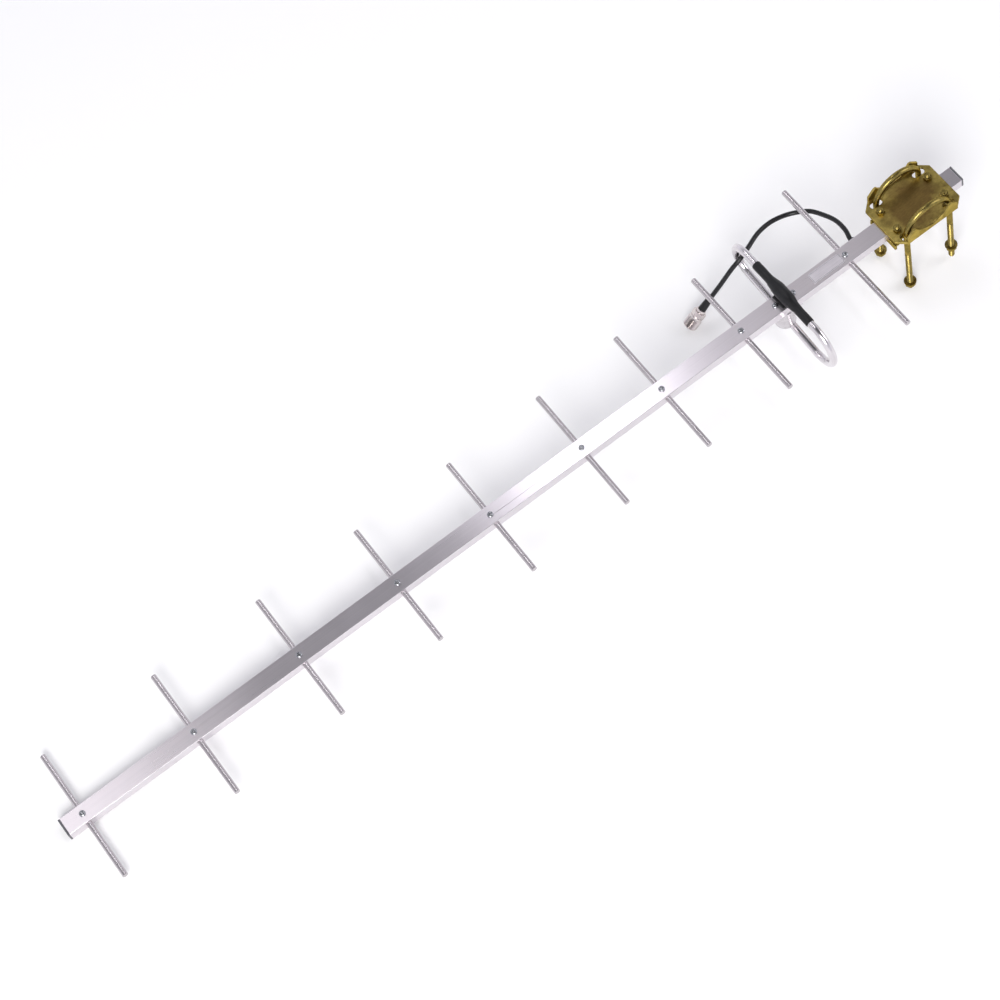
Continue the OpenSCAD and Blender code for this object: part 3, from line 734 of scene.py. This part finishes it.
def arc(centre, radius, start, end, steps):
    """Points of an arc in the YZ plane of the dipole, angles in degrees from +Y."""
    return [Vector((DIPOLE_X, centre[0] + radius * math.cos(math.radians(a)),
                    centre[1] + radius * math.sin(math.radians(a))))
            for a in (start + (end - start) * k / steps for k in range(steps + 1))]


def dipole_line():
    """The folded dipole's centre line, from one side of the feed gap round to the other."""
    slope = math.asin((BEND_B - BEND_A) / BEND_SPAN)
    near = (-BEND_SHIFT - BEND_SPAN / 2 * math.cos(slope), DIPOLE_UP - BEND_A)
    far = (near[0] + BEND_SPAN * math.cos(slope), DIPOLE_UP - BEND_B)
    low = -90.0 - 2 * math.degrees(slope)
    points = [Vector((DIPOLE_X, FEED_GAP / 2 + k * (far[0] - FEED_GAP / 2) / 10, DIPOLE_UP)) for k in range(10)]
    round_far = arc(far, BEND_B, 90.0, low, 56)
    round_near = arc(near, BEND_A, low, -270.0, 46)
    points += round_far
    a, b = round_far[-1], round_near[0]
    points += [a.lerp(b, k / 20) for k in range(1, 20)]
    points += round_near
    end = Vector((DIPOLE_X, -FEED_GAP / 2, DIPOLE_UP))
    points += [round_near[-1].lerp(end, k / 10) for k in range(1, 11)]
    return points


# ---- operators ------------------------------------------------------------------------------------------


class YAGI_OT_stage(bpy.types.Operator):
    """Makes the camera, the pale floor, the soft lights and the surroundings"""
    bl_idname = "yagi.stage"
    bl_label = "Stage"

    def execute(self, context):
        scene = context.scene
        data = bpy.data.cameras.new("camera")
        data.lens = CAMERA_LENS
        data.sensor_width = 36.0
        data.clip_end = 40.0
        camera = bpy.data.objects.new("camera", data)
        scene.collection.objects.link(camera)
        forward = Vector(CAMERA_FORWARD).normalized()
        upward = Vector(CAMERA_UP)
        upward = (upward - upward.dot(forward) * forward).normalized()
        right = forward.cross(upward)
        turn = Matrix((right, upward, -forward)).transposed().to_4x4()
        camera.matrix_world = Matrix.Translation(CAMERA_PLACE) @ turn
        scene.camera = camera

        reach = 9.0
        floor = bpy.data.meshes.new("floor")
        floor.from_pydata([(-reach, -reach, 0), (reach, -reach, 0), (reach, reach, 0), (-reach, reach, 0)], [],
                          [(0, 1, 2, 3)])
        ground = add_object("floor", floor)
        material = bpy.data.materials.new("pale_floor")
        material.use_nodes = True
        w = Wiring(material.node_tree)
        bsdf = material.node_tree.nodes["Principled BSDF"]
        speck = w.add("ShaderNodeTexNoise", {"Vector": w.add("ShaderNodeTexCoord").outputs["Object"],
                                             "Scale": 40.0, "Detail": 3.0})
        tone = w.add("ShaderNodeMix", {"Factor": speck.outputs[0], 6: rgba(colours().floor),
                                       7: rgba(shade(colours().floor, 0.99))}, data_type="RGBA")
        w.feed(bsdf.inputs["Base Color"], tone.outputs[2])
        bsdf.inputs["Roughness"].default_value = 0.9
        bsdf.inputs["Specular IOR Level"].default_value = 0.1
        floor.materials.append(material)

        world = bpy.data.worlds.new("soft room")
        world.use_nodes = True
        w = Wiring(world.node_tree)
        sky = world.node_tree.nodes["Background"]
        height = w.add("ShaderNodeSeparateXYZ", {0: w.add("ShaderNodeTexCoord").outputs["Generated"]})
        ramp = w.add("ShaderNodeMapRange", {"Value": height.outputs["Z"], "From Min": 0.0, "From Max": 1.0,
                                            "To Min": 1.3, "To Max": 0.09})
        tint = w.add("ShaderNodeMix", {"Factor": ramp.outputs[0], 6: (0.0, 0.0, 0.0, 1.0),
                                       7: (0.93, 0.93, 1.0, 1.0)}, data_type="RGBA")
        w.feed(sky.inputs["Color"], tint.outputs[2])
        sky.inputs["Strength"].default_value = 1.0
        scene.world = world
        scene.view_settings.view_transform = "Standard"

        for name, place, target, size, watts, warmth in (
            ("strip over the middle", (-0.31, -1.10, 2.35), (-0.10, 0, 0.06), (0.22, 1.3), 6, (0.96, 0.95, 1)),
            ("strip over the clamp", (-0.84, -1.10, 2.35), (-0.39, 0, 0.08), (0.26, 1.2), 0.8, (1, 0.96, 0.97)),
            ("strip over the front", (0.90, -1.15, 2.25), (0.48, 0, 0.03), (0.36, 1.2), 3.0, (1, 0.97, 1)),
            ("broad key", (1.9, 2.6, 2.9), (0, 0, 0), (2.2, 2.2), 142, (1, 0.99, 0.97)),
            ("left fill", (-2.6, 0.9, 1.9), (-0.3, 0, 0.05), (1.6, 1.6), 22, (0.97, 0.96, 1)),
        ):
            light = bpy.data.lights.new(name, "AREA")
            light.shape = "RECTANGLE"
            light.size, light.size_y = size
            light.energy = watts
            light.color = warmth
            lamp = bpy.data.objects.new(name, light)
            scene.collection.objects.link(lamp)
            aim = (Vector(target) - Vector(place)).to_track_quat("-Z", "Y")
            lamp.matrix_world = Matrix.Translation(place) @ aim.to_matrix().to_4x4()
        return {"FINISHED"}


class YAGI_OT_lead(bpy.types.Operator):
    """Makes the coax lead, its boot and the grommet it leaves through"""
    bl_idname = "yagi.lead"
    bl_label = "Coax lead"

    def execute(self, context):
        line = curve_through(LEAD_ROUTE, 2.0)
        mesh = mesh_of("coax_jacket", sweep(line, [LEAD_R] * len(line), 24), TABLE)
        lead = dress(add_object("coax_jacket", mesh), "antenna", "coax_jacket", "gloss_black_jacket",
                     "coax_lead", sharp=50)

        sleeve = [(2.52, -13.0), (3.35, -13.05), (3.65, -12.8), (3.72, -12.3), (3.76, -11.0), (3.95, -8.0),
                  (4.05, -6.0), (4.02, -4.6), (4.18, -3.6), (4.26, -1.0), (4.28, -0.25), (4.05, 0.0),
                  (2.52, 0.0)]
        boot = turned_piece("jack_boot", sleeve, 40, JACK, "shrink_sleeve", "shrink_tubing", "lead_boot",
                            ring=True)

        ring = [(2.56, -2.2), (3.8, -2.2), (3.98, -2.0), (4.0, -1.25), (3.45, -1.2), (3.45, 0.0), (4.35, 0.0),
                (4.58, 0.2), (4.6, 0.8), (4.42, 1.25), (4.05, 1.9), (3.7, 2.15), (2.85, 2.2), (2.56, 2.0)]
        out = BOOM @ Matrix.Translation((EXIT_X, -BOOM_W / 2, -EXIT_DROP)) @ Matrix.Rotation(math.pi / 2, 4, "X")
        turned_piece("exit_grommet", ring, 40, out, "rubber", "black_rubber", "cable_grommet", ring=True)

        parts = jack_pieces()
        return {"FINISHED"}


def jack_pieces():
    """The coax jack: ferrule, hex, threaded barrel, insulator and centre contact."""
    s = sizes()
    barrel = [(0.0, -0.0), (4.9, 0.0), (5.25, 0.35), (5.25, 3.4), (6.0, 3.4), (6.0, 8.9), (6.9, 9.0), (7.1, 9.4),
              (7.1, 10.7), (6.8, 11.0), (6.8, 11.6), (7.34, 12.2), (7.34, 23.2), (7.0, 23.8), (6.6, 24.0),
              (5.9, 24.0), (5.7, 23.75), (5.7, 14.0), (0.0, 14.0)]
    core = add_object("core", mesh_of("core", turned(barrel, 64), JACK))
    hexagon = prism("hex", "bright_nickel", JACK @ Matrix.Translation((0, 0, 3.0)), 6, 12.8, 6.0, 5.0, 0.15)
    ridge = thread("ridge", "bright_nickel", JACK @ Matrix.Translation((0, 0, 12.3)), 7.9,
                   s.jack_pitch / MM, 10.9, 40)
    body = dress(joined("jack_shell", [core, hexagon, ridge]), "antenna", "nickel", "bright_nickel", "jack_body")
    seat = [(0.0, 14.05), (4.1, 14.05), (4.1, 20.1), (3.8, 20.5), (1.9, 20.5), (1.56, 20.2), (1.56, 14.2),
            (0.0, 14.2)]
    ptfe = turned_piece("jack_seat", seat, 40, JACK, "ptfe", "white_ptfe", "jack_insulator")
    pin = [(0.0, 14.25), (1.5, 14.25), (1.5, 20.6), (1.35, 21.0), (0.95, 21.0), (0.8, 20.8), (0.8, 17.0),
           (0.0, 17.0)]
    contact = turned_piece("jack_socket_pin", pin, 32, JACK, "gold_contact", "gold_plated_pin",
                           "jack_contact")
    return [body, ptfe, contact]


class YAGI_OT_boom(bpy.types.Operator):
    """Makes the boom's box tube, its end plugs and its blank label"""
    bl_idname = "yagi.boom"
    bl_label = "Boom"

    def execute(self, context):
        outside = lambda p: abs(p.y) > BOOM_W / 2 - 0.05 or p.z > -0.05 or p.z < -BOOM_H + 0.05
        tube = edged_piece("boom_tube", "boom_extrusion", sizes().boom_edge, "boom_aluminium",
                           "satin_extruded_aluminium", outside)
        grain_map(tube.data)
        for node, name in (("front_cap", "front_plug"), ("rear_cap", "rear_plug")):
            edged_piece(node, name, 0.0005, "cap_plastic", "grey_plug_plastic")
        self.label()
        return {"FINISHED"}

    def label(self):
        """A blank foil plate with round corners and a plain printed border."""
        def outline(inset, z):
            low, high = [v + inset for v in LABEL_LOW], [v - inset for v in LABEL_HIGH]
            r = max(0.3, 1.6 - inset)
            corners = ((high[0] - r, high[1] - r, 0), (low[0] + r, high[1] - r, 90),
                       (low[0] + r, low[1] + r, 180), (high[0] - r, low[1] + r, 270))
            return [(x + r * math.cos(math.radians(a + k * 15)), y + r * math.sin(math.radians(a + k * 15)), z)
                    for x, y, a in corners for k in range(7)]
        bm = bmesh.new()
        levels = [(0.0, 0.0), (0.0, 0.3), (0.1, 0.38), (0.9, 0.4), (1.25, 0.4)]
        rings = [[bm.verts.new(p) for p in outline(*level)] for level in levels]
        count = len(rings[0])
        for i in range(len(rings) - 1):
            for k in range(count):
                j = (k + 1) % count
                face = bm.faces.new((rings[i][k], rings[i][j], rings[i + 1][j], rings[i + 1][k]))
                face.material_index = 1 if i == 3 else 0
        bm.faces.new(rings[-1])
        bm.faces.new(list(reversed(rings[0])))
        bmesh.ops.recalc_face_normals(bm, faces=bm.faces)
        plate = add_object("blank_label", mesh_of("blank_label", bm, BOOM))
        marks = [p.material_index for p in plate.data.polygons]
        dress(plate, "antenna", "label_foil", "satin_label_foil", "label_plate")
        plate.data.materials.append(finish_named("label_print"))
        plate.data.polygons.foreach_set("material_index", marks)


class YAGI_OT_rods(bpy.types.Operator):
    """Makes the reflector and the eight directors"""
    bl_idname = "yagi.rods"
    bl_label = "Element rods"

    def execute(self, context):
        for i, (x, run) in enumerate(zip(ROD_PLACES, ROD_LENGTHS)):
            node = f"director_{i}" if i else "reflector_rod"
            name = f"director_bar_{i}" if i else "reflector_bar"
            rod = grown(name, rod_tree(), "drawn_aluminium_rod", {"Length": run, "Radius": ROD_R},
                        BOOM @ Matrix.Translation((x, 0, -ROD_DROP)))
            rounded(rod, sizes().rod_chamfer, 2)
            dress(rod, "antenna", "rod_aluminium", "drawn_aluminium_rod", node)
        return {"FINISHED"}


class YAGI_OT_screws(bpy.types.Operator):
    """Makes the pan-head screws that hold the rods and the dipole"""
    bl_idname = "yagi.screws"
    bl_label = "Screws"

    def execute(self, context):
        s = sizes()
        shared = {"Head Radius": s.head_width / 2 / MM, "Head Height": s.head_height / MM,
                  "Recess Length": s.recess_length / MM, "Recess Width": s.recess_width / MM,
                  "Recess Depth": s.recess_depth / MM, "Shank Radius": 1.5}
        for name, node, points, depth in (
            ("rod_screws", "element_screws", [(x, 0, 0) for x in ROD_PLACES], 6.4),
            ("saddle_screws", "dipole_screws",
             [(DIPOLE_X + side * SCREW_SPREAD, 0, 0) for side in (-1, 1)], 16.0),
        ):
            values = dict(shared, Seed=s.screw_seed)
            values["Shank Length"] = depth
            screws = grown(name, pan_screw_tree(), "bright_zinc_screw", values, BOOM, points)
            dress(screws, "antenna", "zinc_screw", "bright_zinc_screw", node)
        return {"FINISHED"}


class YAGI_OT_dipole(bpy.types.Operator):
    """Makes the folded dipole, its shrunk sleeve, its pad and its post"""
    bl_idname = "yagi.dipole"
    bl_label = "Folded dipole"

    def execute(self, context):
        line = dipole_line()
        bm = sweep(line, [DIPOLE_R] * len(line), 36)
        loop = add_object("folded_tube", mesh_of("folded_tube", bm, BOOM))
        dress(loop, "antenna", "dipole_aluminium", "polished_aluminium_tube", "dipole_loop", sharp=50)

        self.sleeve()
        edged_piece("dipole_pad", "saddle_pad", 0.0004, "black_plastic", "moulded_black_plastic", segments=2)
        edged_piece("dipole_post", "saddle_post", 0.0006, "dipole_aluminium", "turned_aluminium")
        return {"FINISHED"}

    def sleeve(self):
        """Heat-shrink tubing, fat over the feed block and thin over the bar, slightly uneven."""
        half, thin, fat, wall = 44.0, 4.85, 7.35, 0.8
        taper_end, taper_run, lip, lip_run = 24.0, 18.0, 0.45, 0.7
        count, around = 96, 48
        stations = [-half + 2 * half * k / count for k in range(count + 1)]

        def radius_at(y):
            t = min(1.0, max(0.0, (taper_end - abs(y)) / taper_run))
            return thin + (fat - thin) * t * t * (3 - 2 * t)

        outer = [(radius_at(y) - lip * max(0.0, 1 - (half - abs(y)) / lip_run) ** 2, y) for y in stations]
        inner = [(radius_at(y) - wall, y) for y in stations[::-8]]
        bm = turned(outer + inner, around, ring=True)
        ripple = sizes().sleeve_ripple / MM
        limit = len(outer) * around
        for i, v in enumerate(bm.verts):
            if i < limit:
                out = Vector((v.co.x, v.co.y, 0)).normalized()
                lump = noise.noise(Vector((v.co.x * 0.22, v.co.y * 0.22, v.co.z * 0.11)))
                crease = noise.noise(Vector((v.co.x * 0.5, v.co.y * 0.5, v.co.z * 0.35 + 40)))
                v.co += out * ripple * (lump + 0.4 * crease - 0.35)
        place = BOOM @ Matrix.Translation((DIPOLE_X, 0, DIPOLE_UP)) @ Matrix.Rotation(-math.pi / 2, 4, "X")
        tube = add_object("shrunk_sleeve", mesh_of("shrunk_sleeve", bm, place))
        dress(tube, "antenna", "shrink_sleeve", "shrink_tubing", "feed_sleeve", sharp=60)
        end = [(0, 15), (4.6, 15), (5.0, 14.6), (5.9, 9), (6.2, 4)]
        core = [(r, -y) for r, y in end] + end[::-1]
        turned_piece("feed_core", core, 40, place, "black_plastic", "moulded_black_plastic", "feed_block")


class YAGI_OT_clamp(bpy.types.Operator):
    """Makes the clamp's pressed plate and the channel under the boom"""
    bl_idname = "yagi.clamp"
    bl_label = "Mast clamp"

    def execute(self, context):
        for node, name in (("mast_plate", "pressed_plate"), ("boom_strap", "under_channel")):
            edged_piece(node, name, sizes().plate_edge, "yellow_zinc_plate", "olive_passivated_zinc")
        return {"FINISHED"}


class YAGI_OT_clamp_bolts(bpy.types.Operator):
    """Makes the four bolts and nuts that pull the channel up to the plate"""
    bl_idname = "yagi.clamp_bolts"
    bl_label = "Clamp bolts"

    def execute(self, context):
        bolts, nuts = [], []
        gold = "golden_passivated_zinc"
        pitch = sizes().bolt_pitch / MM
        nut_h, stub, head_h = 4.0, 4.0, 3.0
        low, top = -BOOM_H - STRAP_T, PLATE_T + nut_h + stub
        for sx in (-1, 1):
            for sy in (-1, 1):
                spot = BOOM @ Matrix.Translation((CLAMP_X + sx * BOLT_X, sy * BOLT_Y, 0))
                bolts.append(prism("head", gold, spot @ Matrix.Translation((0, 0, low - head_h)), 6, 7.79, head_h,
                                   2.0, 0.1))
                shank = turned([(0, low - 0.5), (2.2, low - 0.5), (2.2, top - 0.5), (1.75, top), (0, top)], 32)
                bolts.append(add_object("shank", mesh_of("shank", shank, spot)))
                bolts.append(thread("ridge", gold, spot @ Matrix.Translation((0, 0, low + 0.6)), BOLT_R, pitch,
                                    top - low - 1.3, 20))
                turn = Matrix.Rotation(math.radians(17 + 23 * sx + 11 * sy), 4, "Z")
                nuts.append(prism("nut", gold, spot @ Matrix.Translation((0, 0, PLATE_T)) @ turn, 6, 8.0, nut_h,
                                  BOLT_R + 0.05, 0.25))
        dress(joined("channel_bolts", bolts), "antenna", "yellow_zinc_hardware", gold, "clamp_bolts")
        dress(joined("channel_nuts", nuts), "antenna", "yellow_zinc_hardware", gold, "clamp_nuts")
        return {"FINISHED"}


class YAGI_OT_ubolts(bpy.types.Operator):
    """Makes the two U-bolts with their threaded legs"""
    bl_idname = "yagi.ubolts"
    bl_label = "U-bolts"

    def execute(self, context):
        s = sizes()
        gold = "golden_passivated_zinc"
        pitch, run = s.leg_pitch / MM, s.leg_thread / MM
        for side, body, node, name in ((1, "near_ubolt", "ubolt_near", "near_bow"),
                                       (-1, "far_ubolt", "ubolt_far", "far_bow")):
            place = BOOM @ Matrix.Translation((CLAMP_X, side * LEG_Y, 0))
            core = LEG_R - 0.45
            leg = [(LEG_TIP, core - 0.7), (LEG_TIP + 0.8, core), (LEG_TIP + run + 0.5, core),
                   (LEG_TIP + run + 1.4, LEG_R)]
            leg += [(LEG_TIP + run + 1.4 + k * (SPRING_Z - LEG_TIP - run - 1.4) / 6, LEG_R) for k in range(1, 7)]
            points = [Vector((-LEG_X, 0, z)) for z, _ in leg]
            radii = [r for _, r in leg]
            for k in range(1, 60):
                a = math.pi - math.pi * k / 60
                points.append(Vector((LEG_X * math.cos(a), 0, SPRING_Z + LEG_X * math.sin(a))))
                radii.append(LEG_R)
            points += [Vector((LEG_X, 0, z)) for z, _ in reversed(leg)]
            radii += [r for _, r in reversed(leg)]
            pieces = [add_object("bow", mesh_of("bow", sweep(points, radii, 32), place))]
            for sx in (-1, 1):
                spot = place @ Matrix.Translation((sx * LEG_X, 0, LEG_TIP + 0.9))
                pieces.append(thread("ridge", gold, spot, LEG_R, pitch, run))
            dress(joined(name, pieces), body, "yellow_zinc_hardware", gold, node, sharp=38)
        return {"FINISHED"}


class YAGI_OT_leg_nuts(bpy.types.Operator):
    """Makes the washer and the nut on each U-bolt leg"""
    bl_idname = "yagi.leg_nuts"
    bl_label = "Leg nuts"

    def execute(self, context):
        gold = "golden_passivated_zinc"
        bodies = RECORD["behaviour"]["bodies"]
        holder = {n: b for b, members in bodies.items() for n in members}
        for leg in (1, 2, 3, 4):
            sx = 1 if leg % 2 else -1
            sy = 1 if leg < 3 else -1
            drop = NUT_TOP[(leg + 1) % 2]
            spot = BOOM @ Matrix.Translation((CLAMP_X + sx * LEG_X, sy * LEG_Y, -drop))
            ring = prism(f"flat_washer_{leg}", gold, spot, 48, 12.97, WASHER_T, LEG_R + 0.08, 0.2)
            dress(ring, holder[f"leg_washer_{leg}"], "yellow_zinc_hardware", gold, f"leg_washer_{leg}")
            nut = prism(f"hex_nut_{leg}", gold, spot @ Matrix.Translation((0, 0, -NUT_H)), 6, 10.0, NUT_H,
                        LEG_R + 0.08, 0.25)
            dress(nut, holder[f"leg_nut_{leg}"], "yellow_zinc_hardware", gold, f"leg_nut_{leg}")
        return {"FINISHED"}


class YAGI_OT_inner_parts(bpy.types.Operator):
    """Gives the parts inside the boom and the sleeve their materials"""
    bl_idname = "yagi.inner_parts"
    bl_label = "Inner parts"

    # Gives the thin coax inside the boom and the sleeve its material
    def execute(self, context):
        data = frame["nodes"]["inner_coax"].data
        data.materials.clear()
        data.materials.append(finish_named("brown_thin_coax"))
        return {"FINISHED"}


OPERATORS = (YAGI_OT_stage, YAGI_OT_lead, YAGI_OT_boom, YAGI_OT_rods, YAGI_OT_screws, YAGI_OT_dipole,
             YAGI_OT_clamp, YAGI_OT_clamp_bolts, YAGI_OT_ubolts, YAGI_OT_leg_nuts, YAGI_OT_inner_parts)


class YAGI_PT_panel(bpy.types.Panel):
    """Lists the antenna's pieces, sizes and colours"""
    bl_idname = "YAGI_PT_panel"
    bl_label = "Yagi antenna"
    bl_space_type = "VIEW_3D"
    bl_region_type = "UI"
    bl_category = "Yagi"

    def draw(self, context):
        for group in (context.scene.yagi_sizes, context.scene.yagi_colours):
            box = self.layout.box()
            for name in group.__annotations__:
                box.prop(group, name)
        for operator in OPERATORS:
            self.layout.operator(operator.bl_idname)


CLASSES = (YagiSizes, YagiColours) + OPERATORS + (YAGI_PT_panel,)


def register():
    for each in CLASSES:
        bpy.utils.register_class(each)
    bpy.types.Scene.yagi_sizes = PointerProperty(type=YagiSizes)
    bpy.types.Scene.yagi_colours = PointerProperty(type=YagiColours)


def unregister():
    del bpy.types.Scene.yagi_colours
    del bpy.types.Scene.yagi_sizes
    for each in reversed(CLASSES):
        bpy.utils.unregister_class(each)


def main():
    register()
    for operator in OPERATORS:
        getattr(bpy.ops.yagi, operator.bl_idname.split(".")[1])()


if __name__ == "__main__":
    main()
